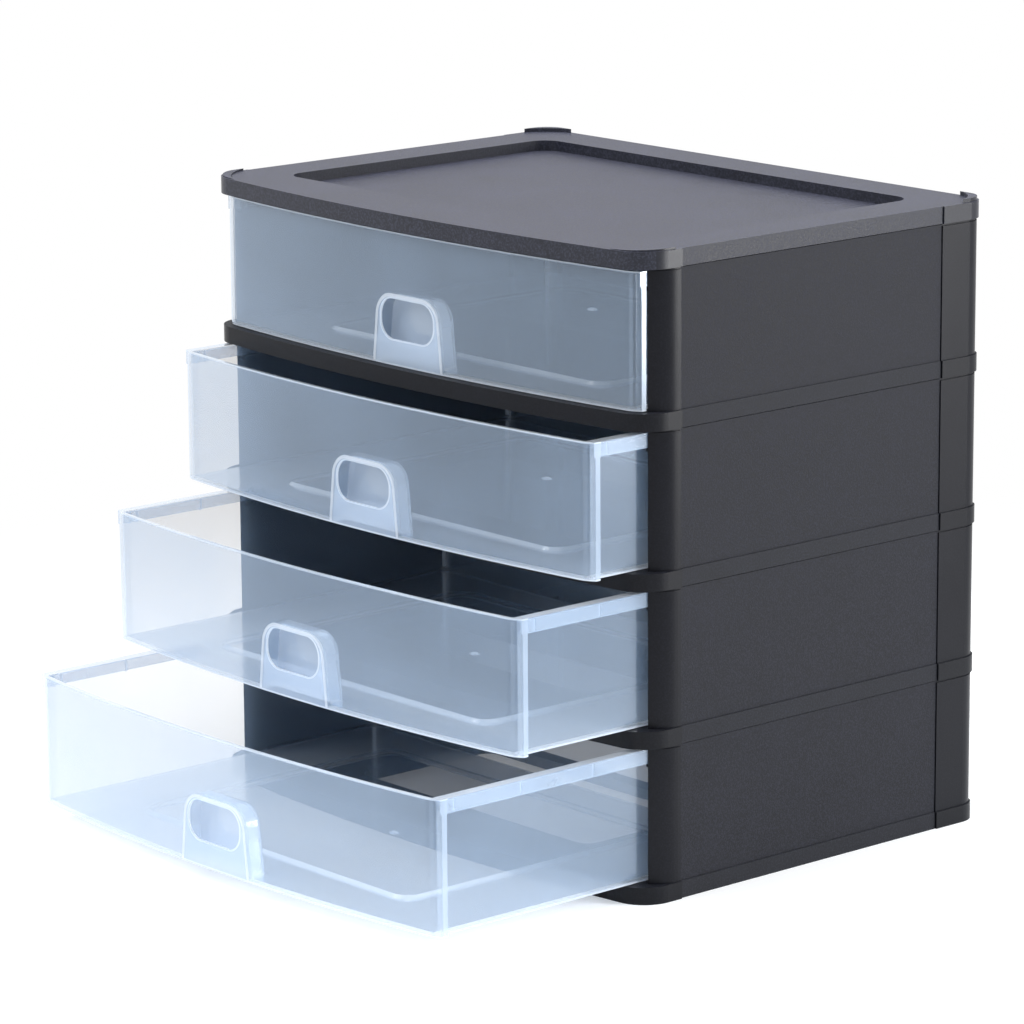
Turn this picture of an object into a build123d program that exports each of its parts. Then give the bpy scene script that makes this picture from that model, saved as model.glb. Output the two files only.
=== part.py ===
from build123d import *
from math import sqrt
import os

# Letter tray stack: a bowed plastic cabinet of four tiers with clear pull-out drawers.
# Millimetres. X runs to the right, Y to the back and Z up. The origin is the middle of the
# base's footprint, on the surface that the stack stands on. Tiers count from the top, and
# each drawer is modelled as far open as it stands at rest.

# ---- Driving dimensions: cabinet ----
width = 360.0
depth = 266.0
tier_pitch = 84.5  # one drawer bay with the deck below it
bow_radius = 1300.0  # front face, seen from above
front_corner_radius = 19.0
rear_corner_radius = 14.0
front_cap_length = 39.0  # corner caps, measured along the side
rear_cap_length = 35.0
side_recess = 1.0  # side bands, behind the faces of the corner caps

# ---- Decks and top cover ----
band_height = 9.5
skirt_wall = 2.2
side_band_wall = 1.6
deck_plate = 2.2
deck_opening_side = 83.0  # from the side face to the openings
deck_opening_front = 46.0  # from the front of the bow to the first opening
deck_opening_rear = 40.0  # from the back face to the second opening
deck_front_opening = 98.0  # length of the first opening
deck_crossbar = 10.0
deck_opening_radius = 8.0
rim_wall = 1.6
rim_drop = 4.0
deck_rib_pitch = 62.0
cover_height = 9.4
cover_plate = 2.2
cover_recess_depth = 6.0
cover_recess_side = 30.0  # rims round the recess
cover_recess_front = 42.0
cover_recess_rear = 28.5
cover_recess_radius = 12.0
front_dip = 2.8  # how far the front rim sags between the corner lips
lip_height = 2.2
lip_width = 5.0
lip_edge = 1.0  # lip's face, behind the skirt's face
lip_reach = 28.5  # along the front or back, from the side face

# ---- Side panels with their posts and runners ----
post_reach = 8.4  # posts, inwards from the side face to the drawer's opening
post_inset = 1.0  # posts, behind the faces of the bands
post_setback = 7.8  # front posts' bowed faces, further back than the bands'
post_wall = 2.4
panel_wall = 2.2
panel_recess = 1.7  # flat panel, behind the side face
seam_gap = 0.5
neck_height = 1.4
neck_depth = 0.7
peg_inset = 1.9  # peg's long faces, inside the post's faces
peg_length = 7.0
peg_end_gap = 3.0  # peg, from the post's end beside the flat panel
peg_head_gap = 0.6  # peg, below the plate over it
peg_overlap = 2.0  # peg's root, inside its post
peg_clearance = 0.3
runner_thickness = 2.4
runner_gusset = 1.6
runner_gusset_drop = 6.0
runner_gusset_pitch = 46.0
leg_length = 11.6  # return of the rear post, behind the drawer
leg_depth = 11.5
back_wall = 2.0
back_inset = 5.0  # back panel, behind the decks' rear face
back_tongue = 4.2
slot_clearance = 0.2

# ---- Drawers ----
drawer_setback = 4.5  # drawer front, behind the front of the bands
drawer_head_gap = 1.5  # rim, below the band over it
drawer_rear_gap = 1.7  # rear wall, in front of the rear posts' returns
drawer_wall = 2.0
drawer_floor = 2.0
drawer_lift = 0.5  # floor's underside, above the deck
drawer_end_gap = 0.5  # front's end and flange, from the post
side_inset = 4.0  # side wall, behind the flange's face
drawer_corner_radius = 8.0
flange_wall = 1.6
flange_drop = 8.0
flange_rib_wall = 1.2
flange_rib_pitch = 50.0
flange_rib_start = 4.0
runner_gap = 0.3  # flange, above its runner
runner_side_gap = 0.6  # runner, from the drawer's side wall
runner_front_gap = 4.0  # runner, behind the closed drawer's front
nib_length = 6.0
nib_reach = 4.0  # stop nib, beyond the flange
nib_gap = 3.0
floor_panel_side = 51.1  # from the side wall
floor_panel_front = 21.0  # from the ends of the front
floor_panel_rear = 29.0  # from the rear wall
floor_panel_radius = 12.0
floor_panel_rise = 1.8
floor_panel_taper = 40.0

# ---- Finger pull: a hollow hood behind a rounded hole ----
hood_foot_width = 58.4
hood_top_width = 50.0
hood_height = 39.4
hood_depth = 12.4
hood_radius = 12.0
hood_edge_radius = 3.0
hood_wall = 2.0
pull_hole_width = 43.4
pull_hole_height = 22.0
pull_hole_end = 2.8  # straight stretch at each end of the hole
pull_hole_centre = 25.6  # above the drawer's underside

# How far each drawer stands open, top tier first
rest_openings = (0.0, 32.0, 82.0, 137.0)

# ---- Worked out from the above ----
tiers = len(rest_openings)
half_width = width / 2
front_y = -depth / 2
back_y = depth / 2
cap_front_y = front_y + front_cap_length
cap_rear_y = back_y - rear_cap_length
corner_x = half_width - front_corner_radius
bow_centre_y = front_y + bow_radius
corner_y = bow_centre_y - sqrt((bow_radius - front_corner_radius) ** 2 - corner_x**2)
opening_half = half_width - post_reach
cover_z = tiers * tier_pitch
cover_top = cover_z + cover_height
band_hollow = band_height - deck_plate
rim_hollow = cover_height - cover_plate - front_dip
peg_height = min(band_hollow, rim_hollow) - peg_head_gap

flange_x = opening_half - drawer_end_gap
side_x = flange_x - side_inset
drawer_top = tier_pitch - drawer_head_gap
drawer_height = drawer_top - drawer_lift - band_height
end_radius = front_corner_radius - drawer_setback
plate_end_y = corner_y - sqrt(end_radius**2 - (flange_x - corner_x) ** 2)
drawer_front_y = front_y + drawer_setback

runner_top = drawer_top - flange_drop - runner_gap
runner_x = side_x + runner_side_gap
panel_x = half_width - panel_recess - panel_wall
leg_x = opening_half - leg_length
leg_y = back_y - leg_depth
drawer_rear_y = leg_y - drawer_rear_gap
back_panel_y = back_y - back_inset
nib_rear_y = cap_rear_y - nib_gap
overshoot = 1.0  # how far cutting shapes run past what they cut


# ---- Shared outlines ----
def outline(inset=0.0):
    """The cabinet's bowed plan, drawn parallel to itself at this inset."""
    bow = bow_radius - inset
    reach = bow / (bow_radius - front_corner_radius)
    bow_end = Vector(corner_x * reach, bow_centre_y + (corner_y - bow_centre_y) * reach)
    side = half_width - inset
    rear = back_y - inset
    rear_radius = rear_corner_radius - inset
    with BuildSketch() as plan:
        with BuildLine():
            front = ThreePointArc((-bow_end.X, bow_end.Y), (0, front_y + inset), (bow_end.X, bow_end.Y))
            corner = TangentArc(front @ 1, (side, corner_y), tangent=front % 1)
            flank = Line(corner @ 1, (side, rear - rear_radius))
            heel = TangentArc(flank @ 1, (side - rear_radius, rear), tangent=flank % 1)
            mirror([corner, flank, heel], about=Plane.YZ)
            Line(heel @ 1, (rear_radius - side, rear))
        make_face()
    return plan.sketch


def keep_box(x_low, x_high, y_low, y_high):
    """Keep only what the sketch has inside this box."""
    with Locations(((x_low + x_high) / 2, (y_low + y_high) / 2)):
        Rectangle(x_high - x_low, y_high - y_low, mode=Mode.INTERSECT)


def add_box(x_low, x_high, y_low, y_high, mode=Mode.ADD):
    """Add or cut a rectangle given by its edges."""
    with Locations(((x_low + x_high) / 2, (y_low + y_high) / 2)):
        Rectangle(x_high - x_low, y_high - y_low, mode=mode)


def band_plan():
    """Plan of a deck's or the cover's band, with its side faces set back."""
    with BuildSketch() as plan:
        add(outline())
        for hand in (-1, 1):
            edges = sorted((hand * (half_width - side_recess), hand * (half_width + overshoot)))
            add_box(*edges, cap_front_y, cap_rear_y, mode=Mode.SUBTRACT)
    return plan.sketch


def hollow_plan():
    """Plan of the space inside a band's skirt."""
    hollow_x = half_width - side_recess - side_band_wall
    with BuildSketch() as plan:
        add(outline(skirt_wall))
        keep_box(-hollow_x, hollow_x, front_y, back_y)
    return plan.sketch


# ---- Corner posts and pegs, shared by the side panels and the decks' sockets ----
front_region = (
    (opening_half, front_y - overshoot),
    (half_width + overshoot, front_y - overshoot),
    (half_width + overshoot, cap_front_y),
    (opening_half, cap_front_y),
)
rear_region = (
    (opening_half, cap_rear_y),
    (half_width + overshoot, cap_rear_y),
    (half_width + overshoot, back_y + overshoot),
    (leg_x, back_y + overshoot),
    (leg_x, leg_y),
    (opening_half, leg_y),
)


def post_outline(front, inset):
    """The faces that the posts follow: the outline, set back for the front posts."""
    return outline(inset).moved(Location((0, post_setback if front else 0, 0)))


def post_plan(front, inset=post_inset, shrink=0.0):
    """Plan of a right-hand post: the outline inside its region, both drawn in by shrink."""
    with BuildSketch() as plan:
        with BuildLine():
            Polyline(*(front_region if front else rear_region), close=True)
        make_face()
        if shrink:
            offset(amount=-shrink, kind=Kind.INTERSECTION, mode=Mode.REPLACE)
        add(post_outline(front, inset + shrink), mode=Mode.INTERSECT)
    return plan.sketch


def peg_plan(front, clearance=0.0):
    """Plan of a right-hand post's peg, or of the socket that takes it."""
    peg_y = cap_front_y - peg_end_gap - peg_length if front else cap_rear_y + peg_end_gap
    with BuildSketch() as plan:
        add_box(
            opening_half + peg_inset - clearance,
            half_width - post_inset - peg_inset + clearance,
            peg_y - clearance,
            peg_y + peg_length + clearance,
        )
        add(post_outline(front, post_inset + peg_inset - clearance), mode=Mode.INTERSECT)
    return plan.sketch


post_ends = (True, False)  # front, rear
post_outers = [post_plan(front) for front in post_ends]
post_hollows = [post_plan(front, shrink=post_wall) for front in post_ends]
post_necks = [post_plan(front, post_inset + neck_depth) for front in post_ends]


# ---- Decks ----
def openings_plan(spans, margin=0.0):
    """Plan of a deck's openings, each given by its front and rear edge, grown by a margin."""
    with BuildSketch() as plan:
        for low_y, high_y in spans:
            with Locations((0, (low_y + high_y) / 2)):
                RectangleRounded(
                    width - 2 * deck_opening_side + 2 * margin,
                    high_y - low_y + 2 * margin,
                    deck_opening_radius + margin,
                )
    return plan.sketch


def build_deck(name, z):
    """A deck: a skirted plate with two openings and sockets for the posts above it."""
    plate_z = z + band_hollow
    front_edge = front_y + deck_opening_front
    rear_edge = back_y - deck_opening_rear
    bar_edge = front_edge + deck_front_opening
    openings = ((front_edge, bar_edge), (bar_edge + deck_crossbar, rear_edge))
    rim_x = half_width - deck_opening_side + rim_wall
    skirt_x = half_width - side_recess - side_band_wall
    with BuildPart() as deck:
        with BuildSketch(Plane.XY.offset(z)):
            add(band_plan())
        extrude(amount=band_height)
        with BuildSketch(Plane.XY.offset(z)):
            add(hollow_plan())
        extrude(amount=band_hollow, mode=Mode.SUBTRACT)
        # down-turned rims round both openings, and ribs from them to the skirt
        with BuildSketch(Plane.XY.offset(plate_z - rim_drop)):
            add(openings_plan(openings, rim_wall))
            for hand in (-1, 1):
                with Locations((hand * (rim_x + skirt_x) / 2, (front_edge + rear_edge) / 2)):
                    with GridLocations(0, deck_rib_pitch, 1, 3):
                        Rectangle(skirt_x - rim_x + overshoot, rim_wall)
        extrude(amount=rim_drop)
        with BuildSketch(Plane.XY.offset(z)):
            add(openings_plan(openings))
        extrude(amount=band_height, mode=Mode.SUBTRACT)
        with BuildSketch(Plane.XY.offset(plate_z)):
            for front in post_ends:
                add(peg_plan(front, peg_clearance))
            mirror(about=Plane.YZ)
        extrude(amount=deck_plate, mode=Mode.SUBTRACT)
    deck.part.label = name
    export_step(deck.part, f"parts/{name}.step")


# ---- Top cover ----
def lip_plan(rear):
    """Plan of a right-hand corner lip: a crescent that tapers out along both faces."""
    turn = 1 if rear else -1
    inner_radius = (rear_corner_radius if rear else front_corner_radius) - lip_edge - lip_width
    centre_x = half_width - (rear_corner_radius if rear else front_corner_radius)
    centre_y = back_y - rear_corner_radius if rear else corner_y
    end_y = back_y if rear else front_y + (half_width - lip_reach) ** 2 / (2 * bow_radius)
    diagonal = inner_radius / sqrt(2)
    side_end = (half_width, cap_rear_y if rear else cap_front_y)
    face_end = (half_width - lip_reach, end_y)
    far_y = turn * depth
    with BuildSketch() as plan:
        add(outline(lip_edge))
        with BuildLine():
            ThreePointArc(
                face_end, (centre_x + diagonal, centre_y + turn * diagonal), side_end
            )
            Polyline(side_end, (width, side_end[1]), (width, far_y), (face_end[0], far_y), face_end)
        make_face(mode=Mode.INTERSECT)
    return plan.sketch


def build_top_cover():
    """The cover: a skirted lid with a recessed top, a sagging front rim and corner lips."""
    recess_front = front_y + cover_recess_front
    recess_rear = back_y - cover_recess_rear
    recess_centre = (0, (recess_front + recess_rear) / 2)
    recess_length = recess_rear - recess_front
    recess_width = width - 2 * cover_recess_side
    step = cover_plate
    floor_z = cover_top - cover_recess_depth
    dip_half = half_width - lip_reach
    dip_radius = (dip_half**2 + front_dip**2) / (2 * front_dip)
    with BuildPart() as cover:
        with BuildSketch(Plane.XY.offset(cover_z)):
            add(band_plan())
        extrude(amount=cover_height)
        with BuildSketch(Plane.XY.offset(cover_top)):
            for rear in (False, True):
                add(lip_plan(rear))
            mirror(about=Plane.YZ)
        extrude(amount=lip_height)
        # the front rim sags in one long arc between the front lips
        with BuildSketch(Plane.XZ.offset(-recess_front - step)):
            with Locations((0, cover_top - front_dip + dip_radius)):
                Circle(dip_radius)
        extrude(amount=cover_recess_front + step + overshoot, mode=Mode.SUBTRACT)
        with BuildSketch(Plane.XY.offset(floor_z)):
            with Locations(recess_centre):
                RectangleRounded(recess_width, recess_length, cover_recess_radius)
        extrude(amount=cover_recess_depth + overshoot, mode=Mode.SUBTRACT)
        # hollow underside: deep under the rim, shallow under the recess
        with BuildSketch(Plane.XY.offset(cover_z)):
            add(hollow_plan())
        extrude(amount=cover_height - cover_recess_depth - cover_plate, mode=Mode.SUBTRACT)
        with BuildSketch(Plane.XY.offset(cover_z)):
            add(hollow_plan())
            with Locations(recess_centre):
                RectangleRounded(
                    recess_width + 2 * step,
                    recess_length + 2 * step,
                    cover_recess_radius + step,
                    mode=Mode.SUBTRACT,
                )
        extrude(amount=rim_hollow, mode=Mode.SUBTRACT)
    cover.part.label = "top_cover"
    export_step(cover.part, "parts/top_cover.step")


# ---- Side panels ----
def build_side_panels(tier, z):
    """A right-hand side panel with its two posts and runner, and its left-hand mirror."""
    foot = z + band_height
    head = z + tier_pitch
    runner_z = z + runner_top - runner_thickness
    runner_front = plate_end_y + drawer_wall + runner_front_gap
    with BuildPart() as right:
        with BuildSketch(Plane.XY.offset(foot)):
            for outer, hollow in zip(post_outers, post_hollows):
                add(outer)
                add(hollow, mode=Mode.SUBTRACT)
        extrude(amount=tier_pitch - band_height - neck_height)
        # a narrower neck at the top of each post leaves a shadow line under the next band
        with BuildSketch(Plane.XY.offset(head - neck_height)):
            for neck, hollow in zip(post_necks, post_hollows):
                add(neck)
                add(hollow, mode=Mode.SUBTRACT)
        extrude(amount=neck_height)
        with BuildSketch(Plane.XY.offset(foot)):
            add_box(panel_x, panel_x + panel_wall, cap_front_y - overshoot, cap_rear_y + overshoot)
        extrude(amount=tier_pitch - band_height - seam_gap)
        # pegs that reach into the sockets of the deck below and the hollow of the one above
        lower_peg = (foot - deck_plate - overshoot, foot + peg_overlap)
        upper_peg = (head - peg_overlap, head + peg_height)
        for peg_foot, peg_head in (lower_peg, upper_peg):
            with BuildSketch(Plane.XY.offset(peg_foot)):
                for front in post_ends:
                    add(peg_plan(front))
            extrude(amount=peg_head - peg_foot)
        # runner under the drawer's flange, with gussets below it
        with BuildSketch(Plane.XY.offset(runner_z)):
            add_box(runner_x, opening_half + overshoot, runner_front, leg_y)
            add_box(opening_half, panel_x + overshoot, cap_front_y, cap_rear_y)
        extrude(amount=runner_thickness)
        with BuildSketch(Plane.XY.offset(runner_z - runner_gusset_drop)):
            with Locations(((opening_half + panel_x + overshoot) / 2, (cap_front_y + cap_rear_y) / 2)):
                with GridLocations(0, runner_gusset_pitch, 1, 4):
                    Rectangle(panel_x + overshoot - opening_half, runner_gusset)
        extrude(amount=runner_gusset_drop + runner_thickness / 2)
        # slot for the back panel's edge
        with BuildSketch(Plane.XY.offset(foot)):
            add_box(
                leg_x - overshoot,
                leg_x + back_tongue + slot_clearance,
                back_panel_y - back_wall - slot_clearance,
                back_panel_y + slot_clearance,
            )
        extrude(amount=tier_pitch - band_height, mode=Mode.SUBTRACT)
    right.part.label = f"side_panel_right_{tier}"
    export_step(right.part, f"parts/side_panel_right_{tier}.step")
    with BuildPart() as left:
        mirror(right.part, about=Plane.YZ)
    left.part.label = f"side_panel_left_{tier}"
    export_step(left.part, f"parts/side_panel_left_{tier}.step")


# ---- Back panels ----
def build_back_panel(tier, z):
    """A plain back panel whose upright edges stand in the rear posts' slots."""
    with BuildPart() as back:
        with BuildSketch(Plane.XY.offset(z + band_height)):
            add_box(
                -leg_x - back_tongue,
                leg_x + back_tongue,
                back_panel_y - back_wall,
                back_panel_y,
            )
        extrude(amount=tier_pitch - band_height - seam_gap)
    back.part.label = f"back_panel_{tier}"
    export_step(back.part, f"parts/back_panel_{tier}.step")


# ---- Drawers ----
def build_hood(shrink, depth_y, foot_z, edge_radius=0.0):
    """The finger pull's hood, or the space inside it, for a closed drawer at height 0."""
    foot_half = hood_foot_width / 2 - shrink
    top_half = hood_top_width / 2 - shrink
    top_z = hood_height - shrink
    start_y = drawer_front_y + drawer_wall / 2
    with BuildPart() as hood:
        with BuildSketch(Plane.XZ.offset(-start_y)) as face:
            Polygon(
                (-foot_half, foot_z), (foot_half, foot_z), (top_half, top_z), (-top_half, top_z),
                align=None,
            )
            fillet(face.vertices().group_by(Axis.Y)[-1], hood_radius - shrink)
        extrude(amount=-(depth_y - drawer_wall / 2))
        if edge_radius:
            rear_edges = hood.faces().sort_by(Axis.Y)[-1].edges()
            fillet(rear_edges.sort_by(Axis.Z)[1:], edge_radius)
    return hood.part


hood_outside = build_hood(0.0, hood_depth, drawer_floor / 2, hood_edge_radius)
hood_inside = build_hood(hood_wall, hood_depth - hood_wall, -overshoot)


def tray_plan(inset=0.0):
    """Plan of a drawer's tray: bowed front, straight sides and rounded rear corners."""
    with BuildSketch() as plan:
        add(outline(drawer_setback + inset))
        keep_box(inset - side_x, side_x - inset, front_y, drawer_rear_y - inset)
        fillet(plan.vertices().group_by(Axis.Y)[-1], drawer_corner_radius - inset)
    return plan.sketch


def floor_panel_plan(inset):
    """Plan of the raised floor panel, drawn in by this inset."""
    low_y = plate_end_y + floor_panel_front + inset
    high_y = drawer_rear_y - floor_panel_rear - inset
    panel_width = 2 * (side_x - floor_panel_side - inset)
    with BuildSketch() as plan:
        with Locations((0, (low_y + high_y) / 2)):
            RectangleRounded(panel_width, high_y - low_y, floor_panel_radius - inset)
    return plan.sketch


def build_drawer(tier, z, opening):
    """A clear drawer: bowed front with eared ends, ribbed side flanges and a finger pull."""
    base = Plane((0, -opening, z + band_height + drawer_lift))
    placed = base.location
    flange_front = plate_end_y - drawer_wall / 2
    with BuildPart() as drawer:
        with BuildSketch(base):
            add(tray_plan())
        extrude(amount=drawer_height)
        with BuildSketch(base.offset(drawer_floor)):
            add(tray_plan(drawer_wall))
        extrude(amount=drawer_height, mode=Mode.SUBTRACT)
        # the front's ends stand out past the side walls and stop at a sharp upright edge
        with BuildSketch(base):
            add(outline(drawer_setback))
            add(outline(drawer_setback + drawer_wall), mode=Mode.SUBTRACT)
            keep_box(-flange_x, flange_x, front_y, corner_y)
            add_box(-side_x + drawer_wall, side_x - drawer_wall, front_y, corner_y, Mode.SUBTRACT)
        extrude(amount=drawer_height)
        # raised floor panel, hollow underneath
        with BuildSketch(base.offset(drawer_floor)):
            add(floor_panel_plan(0.0))
        extrude(amount=floor_panel_rise, taper=floor_panel_taper)
        with BuildSketch(base):
            add(floor_panel_plan(drawer_wall))
        extrude(amount=floor_panel_rise, taper=floor_panel_taper, mode=Mode.SUBTRACT)
        for hand in (-1, 1):
            side = sorted((hand * (side_x - drawer_wall / 2), hand * flange_x))
            skirt = sorted((hand * (flange_x - flange_wall), hand * flange_x))
            nib = sorted((hand * (flange_x - flange_wall), hand * (flange_x + nib_reach)))
            with BuildSketch(base.offset(drawer_height - flange_wall)):
                add_box(*side, flange_front, drawer_rear_y - drawer_corner_radius)
            extrude(amount=flange_wall)
            with BuildSketch(base.offset(drawer_height - flange_drop)):
                add_box(*skirt, flange_front, drawer_rear_y - drawer_corner_radius)
                add_box(*nib, nib_rear_y - nib_length, nib_rear_y)
                for rib_y in flange_rib_places():
                    add_box(*side, rib_y, rib_y + flange_rib_wall)
            extrude(amount=flange_drop - flange_wall / 2)
        add(hood_outside.moved(placed))
        add(hood_inside.moved(placed), mode=Mode.SUBTRACT)
        # hole through the front into the hood
        with BuildSketch(Plane((0, drawer_front_y - opening, base.origin.Z), (1, 0, 0), (0, -1, 0))):
            with Locations((0, pull_hole_centre)):
                RectangleRounded(
                    pull_hole_width, pull_hole_height, (pull_hole_height - pull_hole_end) / 2
                )
        extrude(amount=-hood_depth / 2, mode=Mode.SUBTRACT)
    drawer.part.label = f"drawer_{tier}"
    export_step(drawer.part, f"parts/drawer_{tier}.step")


def flange_rib_places():
    """Where the ribs under the side flange stand, from a doubled one at the front."""
    first = plate_end_y + flange_rib_start
    places = [first + flange_rib_start + flange_rib_wall]
    while first < drawer_rear_y - drawer_corner_radius - flange_rib_wall:
        places.append(first)
        first += flange_rib_pitch
    return places


# ---- The whole stack ----
os.makedirs("parts", exist_ok=True)
build_top_cover()
for tier, opening in enumerate(rest_openings, start=1):
    tier_z = (tiers - tier) * tier_pitch
    build_deck("base_deck" if tier == tiers else f"shelf_deck_{tier}", tier_z)
    build_side_panels(tier, tier_z)
    build_back_panel(tier, tier_z)
    build_drawer(tier, tier_z, opening)
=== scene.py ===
import math

import bpy
from mathutils import Matrix, Vector


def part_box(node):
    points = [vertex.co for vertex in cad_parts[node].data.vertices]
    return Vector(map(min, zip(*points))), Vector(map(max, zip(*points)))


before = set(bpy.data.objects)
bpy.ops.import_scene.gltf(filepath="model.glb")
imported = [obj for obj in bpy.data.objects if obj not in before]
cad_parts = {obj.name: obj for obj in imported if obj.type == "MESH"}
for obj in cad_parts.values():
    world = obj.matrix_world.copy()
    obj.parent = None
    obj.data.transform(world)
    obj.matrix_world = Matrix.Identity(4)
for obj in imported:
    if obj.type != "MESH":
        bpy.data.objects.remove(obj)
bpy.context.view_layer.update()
scene = bpy.context.scene

# A stack of four clear drawers in a dark moulded cabinet. Metres, in the model's own frame:
# +X right, +Y back, +Z up. The drawers open along -Y.
TIERS = (1, 2, 3, 4)
DECKS = ("shelf_deck_1", "shelf_deck_2", "shelf_deck_3", "base_deck")
MM = 0.001


# ---- Camera: the photograph's place, direction and long lens ----
PICTURE = 1024  # pixels along each side of the picture
FOCAL_PIXELS = 4948.3
SENSOR = 36.0  # millimetres
CAMERA_AT = Vector((2.00677, -1.79996, 0.77796))
YAW, PITCH, ROLL = -0.8549, -0.2237, -0.0066  # radians: from +Y, above level, about the view
CLIP_NEAR, CLIP_FAR = 0.05, 50.0


def make_camera():
    ahead = Vector((
        math.sin(YAW) * math.cos(PITCH), math.cos(YAW) * math.cos(PITCH), math.sin(PITCH)
    ))
    level_right = Vector((math.cos(YAW), -math.sin(YAW), 0.0))
    level_up = level_right.cross(ahead)
    right = level_right * math.cos(ROLL) + level_up * math.sin(ROLL)
    up = level_up * math.cos(ROLL) - level_right * math.sin(ROLL)
    data = bpy.data.cameras.new("camera")
    data.sensor_width = SENSOR
    data.lens = FOCAL_PIXELS / PICTURE * SENSOR
    data.clip_start = CLIP_NEAR
    data.clip_end = CLIP_FAR
    camera = bpy.data.objects.new("camera", data)
    scene.collection.objects.link(camera)
    turn = Matrix((right, up, -ahead)).transposed()
    camera.matrix_world = Matrix.Translation(CAMERA_AT) @ turn.to_4x4()
    scene.camera = camera


# ---- Node helpers ----
SOFT = 0.15 * MM  # half the blur at a mask's edge


class Nodes:
    """A short way to build a node tree: nodes by type, with settings and linked inputs."""

    def __init__(self, tree):
        self.tree = tree
        tree.nodes.clear()

    def add(self, kind, inputs=(), **settings):
        node = self.tree.nodes.new("ShaderNode" + kind)
        for name, value in settings.items():
            setattr(node, name, value)
        for name, value in dict(inputs).items():
            if isinstance(value, bpy.types.Node):
                value = value.outputs[0]
            self.feed(node.inputs[name], value)
        return node

    def feed(self, socket, value):
        """Links a socket to another one, or gives it a constant."""
        if isinstance(value, bpy.types.NodeSocket):
            self.tree.links.new(value, socket)
        else:
            socket.default_value = value

    def math(self, operation, first, second=0.0, clamp=False):
        node = self.add("Math", {0: first, 1: second}, operation=operation, use_clamp=clamp)
        return node.outputs[0]

    def ramp(self, value, low, high, to_low=0.0, to_high=1.0):
        """Smooth step of a value from low to high."""
        ends = {"From Min": low, "From Max": high, "To Min": to_low, "To Max": to_high}
        node = self.add("MapRange", {"Value": value, **ends}, interpolation_type="SMOOTHSTEP")
        return node.outputs[0]

    def above(self, value, edge, blur=SOFT):
        """1 where a value is over an edge, else 0."""
        return self.ramp(value, edge - blur, edge + blur)

    def below(self, value, edge, blur=SOFT):
        """1 where a value is under an edge, else 0."""
        return self.ramp(value, edge + blur, edge - blur)

    def both(self, *masks):
        """Where all of the masks hold."""
        product = masks[0]
        for mask in masks[1:]:
            product = self.math("MULTIPLY", product, mask)
        return product

    def most(self, *masks):
        """The strongest of the masks."""
        top = masks[0]
        for mask in masks[1:]:
            top = self.math("MAXIMUM", top, mask)
        return top

    def past(self, value, edge):
        """How far a value lies past an edge, or 0."""
        return self.math("MAXIMUM", self.math("SUBTRACT", value, edge), 0.0)

    def short_of(self, value, edge):
        """How far a value falls short of an edge, or 0."""
        return self.math("MAXIMUM", self.math("SUBTRACT", edge, value), 0.0)

    def distance(self, across, up):
        squares = self.math("ADD", self.math("POWER", across, 2.0), self.math("POWER", up, 2.0))
        return self.math("SQRT", squares)

    def mix_colour(self, factor, first, second):
        node = self.add("Mix", data_type="RGBA")
        factor_socket, first_socket, second_socket = node.inputs[0], node.inputs[6], node.inputs[7]
        self.feed(factor_socket, factor)
        self.feed(first_socket, first)
        self.feed(second_socket, second)
        return node.outputs[2]

    def mix_shader(self, factor, first, second):
        return self.add("MixShader", {0: factor, 1: first, 2: second}).outputs[0]

    def noise(self, coordinates, scale, detail, roughness):
        return self.add(
            "TexNoise",
            {"Vector": coordinates, "Scale": scale, "Detail": detail, "Roughness": roughness},
        ).outputs[0]

    def shown_rays(self):
        """1 for rays that reach the camera straight, through clear plastic or by a reflection."""
        ray = self.add("LightPath").outputs
        return self.most(ray["Is Camera Ray"], ray["Is Transmission Ray"], ray["Is Glossy Ray"])


def colour(red, green, blue):
    return (red, green, blue, 1.0)


def new_material(name):
    material = bpy.data.materials.new(name)
    material.use_nodes = True
    return material, Nodes(material.node_tree)


# ---- Light, floor and background ----
WHITE = colour(1, 1, 1)
STUDIO_TINT, STUDIO_STRENGTH = colour(0.94, 0.97, 1.0), 0.66
FLOOR_HALF = 6.0
FLOOR_PAINT = colour(0.86, 0.87, 0.88)
FLOOR_LIFT = 0.22  # glow added to the floor near the stack, where it shows
FLOOR_NEAR, FLOOR_AWAY = 0.35, 0.80  # the floor turns plain white between these, from the origin
STACK_MIDDLE = Vector((0.0, -0.05, 0.17))


def make_world():
    world = bpy.data.worlds.new("studio")
    world.use_nodes = True
    scene.world = world
    n = Nodes(world.node_tree)
    white = n.add("Background", {"Color": WHITE, "Strength": 1.0})
    studio = n.add("Background", {"Color": STUDIO_TINT, "Strength": STUDIO_STRENGTH})
    n.add("OutputWorld", {"Surface": n.mix_shader(n.shown_rays(), studio, white)})


def make_floor():
    mesh = bpy.data.meshes.new("floor")
    corners = [(x * FLOOR_HALF, y * FLOOR_HALF, 0) for x, y in ((-1, -1), (1, -1), (1, 1), (-1, 1))]
    mesh.from_pydata(corners, [], [(0, 1, 2, 3)])
    floor = bpy.data.objects.new("floor", mesh)
    scene.collection.objects.link(floor)
    material, n = new_material("pale_floor")
    shown = n.shown_rays()
    plain = n.add("BsdfDiffuse", {"Color": FLOOR_PAINT})
    lift = n.add("Emission", {"Color": WHITE, "Strength": n.math("MULTIPLY", shown, FLOOR_LIFT)})
    near = n.add("AddShader", {0: plain, 1: lift})
    white = n.add("Emission", {"Color": WHITE, "Strength": 1.0})
    place = n.add("TexCoord").outputs["Object"]
    reach = n.add("VectorMath", {0: place}, operation="LENGTH").outputs["Value"]
    away = n.math("MULTIPLY", shown, n.ramp(reach, FLOOR_NEAR, FLOOR_AWAY))
    n.add("OutputMaterial", {"Surface": n.mix_shader(away, near, white)})
    mesh.materials.append(material)


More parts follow.
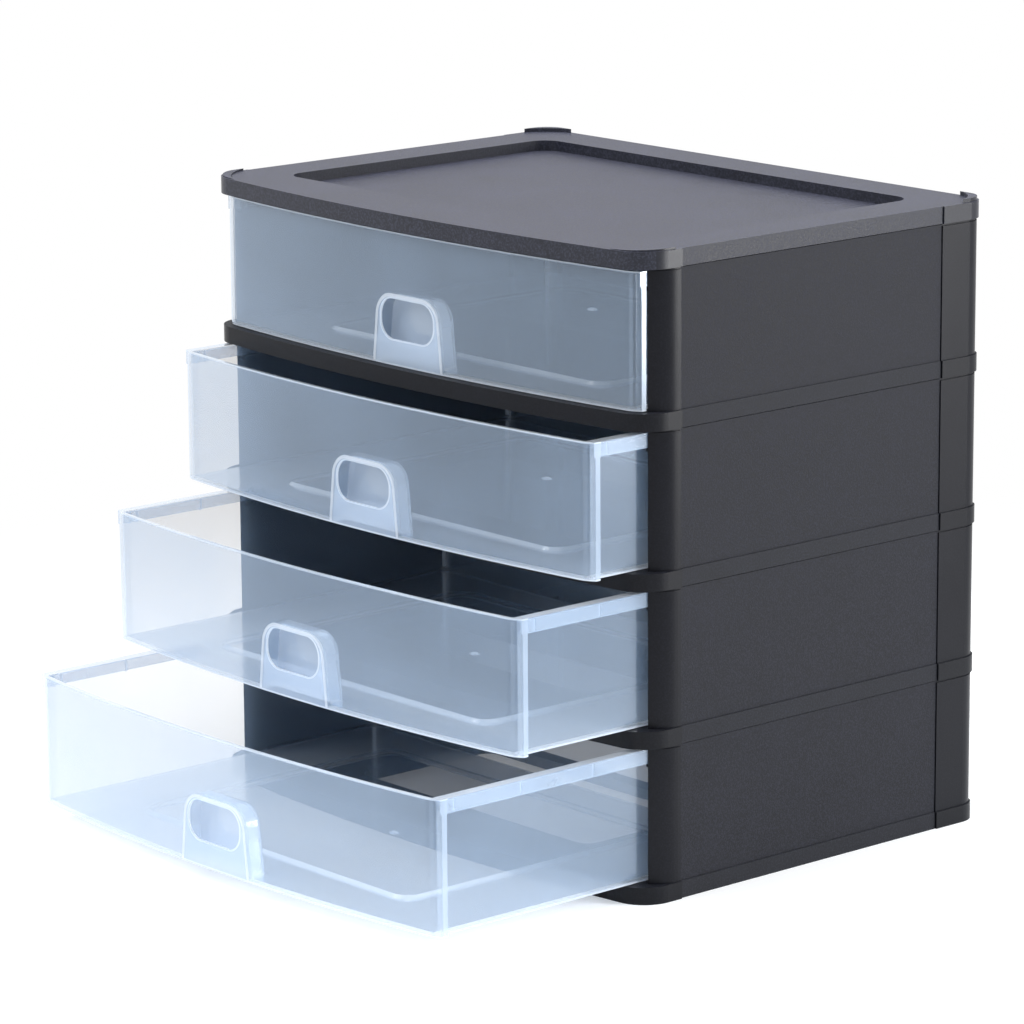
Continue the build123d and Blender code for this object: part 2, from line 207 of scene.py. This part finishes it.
def make_lamp(name, at, size, watts):
    """A soft lamp that looks at the stack."""
    data = bpy.data.lights.new(name, "AREA")
    data.shape = "RECTANGLE"
    data.size, data.size_y = size
    data.energy = watts
    lamp = bpy.data.objects.new(name, data)
    scene.collection.objects.link(lamp)
    lamp.location = at
    lamp.rotation_euler = (STACK_MIDDLE - Vector(at)).to_track_quat("-Z", "Y").to_euler()
    lamp.visible_camera = False


def make_lights():
    make_lamp("key", at=(-0.9, -1.9, 1.9), size=(1.6, 1.6), watts=50.0)
    make_lamp("top", at=(0.3, 0.4, 2.4), size=(2.0, 2.0), watts=28.0)
    make_lamp("right_strip", at=(1.33, 0.84, 0.42), size=(0.28, 1.0), watts=24.0)


# ---- Dark moulded plastic ----
CAP_FRONT_Y = -94.0 * MM  # the smooth corner caps end here, and the grained sides begin
CAP_REAR_Y = 98.0 * MM
CAP_BLUR = 0.4 * MM
FLANK_FROM, FLANK_FULL = 0.90, 0.95  # how far sideways a face looks, to count as a flank
TOP_FROM, TOP_FULL = 0.7, 0.9  # how far up a face looks, to count as a top
FINE_DETAIL, FINE_ROUGHNESS = 3.0, 0.75
BROAD_SCALE, BROAD_DETAIL, BROAD_ROUGHNESS = 34.0, 4.0, 0.6
SPECK_LOW, SPECK_HIGH = 0.44, 0.64  # the fine noise turns from dark to pale between these
SPECK_SHARE, BROAD_SHARE = 0.65, 0.35  # of the tone
SMOOTH_FINISH_AND_SHADE = 0.30  # darker tone of the smooth corners and fronts, beside the grained sides: partly their smooth finish, partly painted shade
SMOOTH_RELIEF = 0.05
UNEVEN_GRAIN, UNEVEN_SMOOTH, UNEVEN_BROAD = 0.7, 0.05, 0.08  # variation of the roughness
RELIEF_DEPTH = 0.2 * MM


def make_charcoal(name, dark, pale, grain, roughness, gloss, bump, specular, painted_flank_shade=1.0):
    """Moulded charcoal plastic: grained flat sides and tops, smooth satin corners and fronts. The
    corners and fronts are painted darker, partly for their smooth finish and partly as painted
    shade; sideways faces can get painted shade too.
    """
    material, n = new_material(name)
    place = n.add("TexCoord").outputs["Object"]
    y = n.add("SeparateXYZ", {0: place}).outputs["Y"]
    normal = n.add("NewGeometry").outputs["True Normal"]
    nx, _, nz = n.add("SeparateXYZ", {0: normal}).outputs
    flank = n.ramp(n.math("ABSOLUTE", nx), FLANK_FROM, FLANK_FULL)
    top = n.ramp(nz, TOP_FROM, TOP_FULL)
    inner = n.both(
        n.ramp(y, CAP_FRONT_Y, CAP_FRONT_Y + CAP_BLUR), n.ramp(y, CAP_REAR_Y, CAP_REAR_Y - CAP_BLUR)
    )
    grained = n.most(n.both(flank, inner), top)

    def by_grain(smooth, rough):
        return n.ramp(grained, 0.0, 1.0, smooth, rough)

    fine = n.noise(place, grain, FINE_DETAIL, FINE_ROUGHNESS)
    broad = n.noise(place, BROAD_SCALE, BROAD_DETAIL, BROAD_ROUGHNESS)
    speck = n.math("MULTIPLY", n.ramp(fine, SPECK_LOW, SPECK_HIGH), SPECK_SHARE)
    tone = n.math("ADD", speck, n.math("MULTIPLY", broad, BROAD_SHARE))
    # painted shade, with some of the smooth finish: the smooth corners and fronts darker than the
    # grained faces
    tone = n.math("MULTIPLY", tone, by_grain(SMOOTH_FINISH_AND_SHADE, 1.0))
    # painted shade on the faces that look sideways, by the factor given for them
    tone = n.math("MULTIPLY", tone, n.ramp(flank, 0.0, 1.0, 1.0, painted_flank_shade), clamp=True)
    uneven = n.math("SUBTRACT", fine, 0.5)
    uneven = n.math("MULTIPLY", uneven, by_grain(UNEVEN_SMOOTH, UNEVEN_GRAIN))
    shine = n.math("ADD", by_grain(gloss, roughness), uneven)
    shine = n.math("ADD", shine, n.math("MULTIPLY", broad, UNEVEN_BROAD), clamp=True)
    relief = n.add("Bump", {
        "Strength": by_grain(SMOOTH_RELIEF, bump), "Distance": RELIEF_DEPTH, "Height": fine,
    })
    surface = n.add("BsdfPrincipled", {
        "Base Color": n.mix_colour(tone, dark, pale), "Roughness": shine, "Normal": relief,
        "Specular IOR Level": specular,
    })
    n.add("OutputMaterial", {"Surface": surface})
    return material


# ---- Clear drawer plastic ----
HAZE = colour(0.53, 0.73, 1.0)
# colour of the painted highlights on the drawers' edges, finger pull and corners
HIGHLIGHT_PAINT = colour(0.95, 0.975, 1.0)
FACE_HAZE = 0.112  # share of light that one face scatters, seen square on
# share of haze in the painted highlights
HIGHLIGHT_HAZE = 0.86
STEEPEST = 0.5  # haze stops growing where a face is seen more edge on than this
CLOUD_SCALE, CLOUD_DETAIL, CLOUD_ROUGHNESS = 14.0, 3.0, 0.5
CLOUD_FROM, CLOUD_FULL = 0.25, 0.75  # the noise runs from the least haze to the most here
CLOUD_LOW, CLOUD_HIGH = 0.88, 1.12  # unevenness of the haze
CLEAR_TINT = colour(1.0, 0.985, 0.965)
THROUGH = 0.45  # share of the scattered light that comes out behind
SHINE_TINT, SHINE_ROUGHNESS = colour(0.86, 0.92, 1.0), 0.16
SHINE_IOR = 1.45
SHINE_GAIN = 2.3  # both faces of a wall reflect, and only the outer one carries the shine

# the drawer's moulding, in the places that its masks follow
NIB_REACH = 4.0 * MM  # the stop nibs, beyond the flanges
SIDE_INSET = 4.0 * MM  # the side walls, inside the flanges' faces
WALL = 2.0 * MM
EAR_BACK = 14.3 * MM  # the front's ends, behind the middle of its bow
HOOD_FOOT, HOOD_TOP, HOOD_HEIGHT = 29.2 * MM, 25.0 * MM, 39.4 * MM  # half widths, and height
HOOD_RADIUS = 12.0 * MM
HOOD_DEPTH = 12.4 * MM  # from the front's middle to the back of the hood
HOLE_HALF_WIDTH, HOLE_HALF_HEIGHT = 21.7 * MM, 11.0 * MM
HOLE_RADIUS, HOLE_CENTRE = 9.6 * MM, 25.6 * MM
HOLE_RING = 1.1 * MM
MARK_X, MARK_RISE = 139.5 * MM, 50.0 * MM
MARK_HALF_WIDTH, MARK_HALF_HEIGHT = 3.2 * MM, 0.9 * MM

# how far the masks reach, in from the drawer's box or out from its walls
FRONT_DEPTH, EAR_DEPTH = 2.6 * MM, 3.6 * MM  # the front wall at its middle, and at its ends
RIM_DEPTH, EAR_EDGE = 0.3 * MM, 0.3 * MM
TOP_LINE, TOP_BLUR = 0.9 * MM, 0.5 * MM
FOOT_LINE, FOOT_BLUR = 1.1 * MM, 0.7 * MM
HOLE_EDGE_INSET, HOLE_EDGE_RISE = 2.5 * MM, 8.0 * MM
HOOD_MARGIN, HOOD_END = 0.1 * MM, 13.5 * MM
HOOD_EDGE_START = 4.0 * MM  # behind the front's middle
ARCH_LOW, ARCH_HIGH = 1.7 * MM, 3.4 * MM  # the line above the hood's foot
HOOD_ROUND, HOOD_BLUR = 1.4 * MM, 0.3 * MM
MARK_END = 12.0 * MM
CORNER_WIDTH, CORNER_RISE = 3.1 * MM, 4.0 * MM
BEVEL_RISE = 4.2 * MM
FLANGE_OUT, FLANGE_START = 0.2 * MM, 3.0 * MM


def hood_inset(n, wide, rise):
    """How far a point lies inside the hood's rounded outline, seen from the front."""
    lean = (HOOD_FOOT - HOOD_TOP) / HOOD_HEIGHT
    half = n.math("SUBTRACT", HOOD_FOOT, n.math("MULTIPLY", rise, lean))
    from_side = n.short_of(n.math("SUBTRACT", half, wide), HOOD_RADIUS)
    from_top = n.short_of(n.math("SUBTRACT", HOOD_HEIGHT, rise), HOOD_RADIUS)
    return n.math("SUBTRACT", HOOD_RADIUS, n.distance(from_side, from_top))


def hole_reach(n, wide, rise):
    """How far a point lies from the core that the hole's rounded outline is drawn round."""
    across = n.past(wide, HOLE_HALF_WIDTH - HOLE_RADIUS)
    upright = n.math("ABSOLUTE", n.math("SUBTRACT", rise, HOLE_CENTRE))
    return n.distance(across, n.past(upright, HOLE_HALF_HEIGHT - HOLE_RADIUS))


def mark_reach(n, x, rise):
    """1 on the outline of the small oval moulding mark, and less inside it."""
    across = n.math("DIVIDE", n.math("SUBTRACT", x, MARK_X), MARK_HALF_WIDTH)
    upright = n.math("DIVIDE", n.math("SUBTRACT", rise, MARK_RISE), MARK_HALF_HEIGHT)
    return n.distance(across, upright)


def painted_edge_highlights(n, place, true_normal, low, high):
    """How strong the painted highlight is at each place of a drawer between these corners, from 0
    to 1.
    """
    x, y, z = n.add("SeparateXYZ", {0: place}).outputs
    _, ny, nz = n.add("SeparateXYZ", {0: true_normal}).outputs
    wide = n.math("ABSOLUTE", x)
    rise = n.math("SUBTRACT", z, low.z)
    inset = hood_inset(n, wide, rise)
    flange_x = high.x - NIB_REACH
    side_x = flange_x - SIDE_INSET
    front_wall = n.below(y, low.y + FRONT_DEPTH)
    ear_wall = n.below(y, low.y + EAR_BACK + EAR_DEPTH)

    # painted highlights on the cut edges: the rim, the foot of the walls and the upright ends of
    # the front
    rim = n.both(n.above(z, high.z - RIM_DEPTH), n.above(nz, 0.7, 0.1))
    line_top = n.both(n.above(z, high.z - TOP_LINE, TOP_BLUR), ear_wall)
    line_foot = n.below(z, low.z + FOOT_LINE, FOOT_BLUR)
    ear_end = n.both(n.above(wide, flange_x - EAR_EDGE), ear_wall)

    # painted highlights on the finger pull: its walls' line on the front, its hole's edge and ring,
    # and its hood
    hood_line = n.both(n.above(inset, 0.0), n.below(inset, WALL), front_wall)
    hole_edge = n.both(
        front_wall, n.below(n.math("ABSOLUTE", ny), 0.3, 0.1),
        n.above(inset, HOLE_EDGE_INSET), n.above(rise, HOLE_EDGE_RISE),
    )
    hole_ring = n.both(front_wall, n.below(hole_reach(n, wide, rise), HOLE_RADIUS + HOLE_RING))
    hood = n.both(n.above(inset, -HOOD_MARGIN), n.below(y, low.y + HOOD_END))
    arch = n.both(n.above(rise, ARCH_LOW, HOOD_BLUR), n.below(rise, ARCH_HIGH, HOOD_BLUR))
    hood_back = n.both(
        n.above(y, low.y + HOOD_DEPTH - HOOD_ROUND, HOOD_BLUR), n.below(ny, 0.9, 0.05)
    )
    hood_edge = n.both(hood, n.above(y, low.y + HOOD_EDGE_START), n.most(arch, hood_back))

    # a small moulding mark high on the front, its outline drawn as a painted highlight, and painted
    # highlights down the rear corners
    mark = n.both(n.below(mark_reach(n, x, rise), 0.9, 0.3), n.below(y, low.y + MARK_END))
    corner = n.both(
        n.above(wide, side_x - CORNER_WIDTH), n.above(y, high.y - CORNER_WIDTH),
        n.above(rise, CORNER_RISE),
    )

    # painted highlights on the bevel round the raised floor panel, where the side walls meet the
    # front, and on the flanges
    bevel = n.both(n.below(z, low.z + BEVEL_RISE), n.above(nz, 0.3, 0.1), n.below(nz, 0.96, 0.02))
    seam = n.both(ear_wall, n.above(wide, side_x - WALL), n.below(wide, side_x))
    flange = n.both(
        n.above(wide, side_x + FLANGE_OUT), n.above(y, low.y + EAR_BACK + FLANGE_START)
    )

    # how bright each painted highlight is
    weights = (
        (line_top, 0.7), (line_foot, 0.75), (ear_end, 0.35), (hood_line, 0.75), (hole_ring, 0.6),
        (mark, 0.3), (corner, 0.5), (bevel, 0.5), (seam, 0.16), (hood_edge, 0.6), (hood, 0.30),
        (flange, 0.20),
    )
    return n.most(rim, hole_edge, *(n.math("MULTIPLY", mask, weight) for mask, weight in weights))


def make_clear(name, node):
    """Slightly frosted clear plastic with painted highlights on its cut edges, finger pull and
    corners, placed by its drawer's box.
    """
    material, n = new_material(name)
    place = n.add("TexCoord").outputs["Object"]
    geometry = n.add("NewGeometry")
    edges = painted_edge_highlights(n, place, geometry.outputs["True Normal"], *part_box(node))
    facing = n.add("LayerWeight", {"Blend": 0.5}).outputs["Facing"]
    square = n.math("SUBTRACT", 1.0, facing)
    slant = n.math("DIVIDE", FACE_HAZE, n.math("MAXIMUM", square, STEEPEST))
    cloud = n.noise(place, CLOUD_SCALE, CLOUD_DETAIL, CLOUD_ROUGHNESS)
    slant = n.math("MULTIPLY", slant, n.ramp(cloud, CLOUD_FROM, CLOUD_FULL, CLOUD_LOW, CLOUD_HIGH))
    # the painted highlights raise the haze and turn its colour towards white
    haze = n.add(
        "MapRange",
        {"Value": edges, "From Min": 0.0, "From Max": 1.0, "To Min": slant, "To Max": HIGHLIGHT_HAZE},
    ).outputs[0]
    paint = n.mix_colour(edges, HAZE, HIGHLIGHT_PAINT)
    clear = n.add("BsdfTransparent", {"Color": CLEAR_TINT})
    front = n.add("BsdfDiffuse", {"Color": paint})
    back = n.add("BsdfTranslucent", {"Color": paint})
    body = n.mix_shader(haze, clear, n.mix_shader(THROUGH, front, back))
    shine = n.add("BsdfGlossy", {"Color": SHINE_TINT, "Roughness": SHINE_ROUGHNESS})
    mirror = n.add("Fresnel", {"IOR": SHINE_IOR}).outputs[0]
    outside = n.math("SUBTRACT", 1.0, geometry.outputs["Backfacing"])
    mirror = n.math("MULTIPLY", n.math("MULTIPLY", mirror, outside), SHINE_GAIN, clamp=True)
    n.add("OutputMaterial", {"Surface": n.mix_shader(mirror, body, shine)})
    return material


# ---- The pieces ----
def paint_node(node, material):
    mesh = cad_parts[node].data
    mesh.materials.clear()
    mesh.materials.append(material)


def paint_cad():
    # painted light: the cover's top is painted far lighter than the side panels, where it faces up;
    # painted shade on its sideways faces and front brings them back down
    cover = make_charcoal(
        "cover_plastic", dark=colour(0.008, 0.009, 0.014), pale=colour(0.106, 0.112, 0.170),
        grain=800.0, roughness=0.44, gloss=0.30, bump=0.70, specular=0.30, painted_flank_shade=0.24,
    )
    side = make_charcoal(
        "side_plastic", dark=colour(0.0035, 0.004, 0.0065), pale=colour(0.021, 0.0225, 0.033),
        grain=1000.0, roughness=0.50, gloss=0.30, bump=0.70, specular=0.17,
    )
    deck = make_charcoal(
        "deck_plastic", dark=colour(0.0035, 0.004, 0.006), pale=colour(0.023, 0.025, 0.035),
        grain=1000.0, roughness=0.50, gloss=0.32, bump=0.60, specular=0.17,
    )
    paint_node("top_cover", cover)
    for tier, deck_name in zip(TIERS, DECKS):
        paint_node(deck_name, deck)
        paint_node(f"side_panel_left_{tier}", side)
        paint_node(f"side_panel_right_{tier}", side)
        paint_node(f"back_panel_{tier}", side)
        drawer = f"drawer_{tier}"
        paint_node(drawer, make_clear(f"clear_plastic_{tier}", drawer))


make_camera()
make_world()
make_floor()
make_lights()
paint_cad()
scene.view_settings.view_transform = "Standard"
scene.cycles.transparent_max_bounces = 48  # many clear faces lie one behind another
scene.cycles.max_bounces = 12
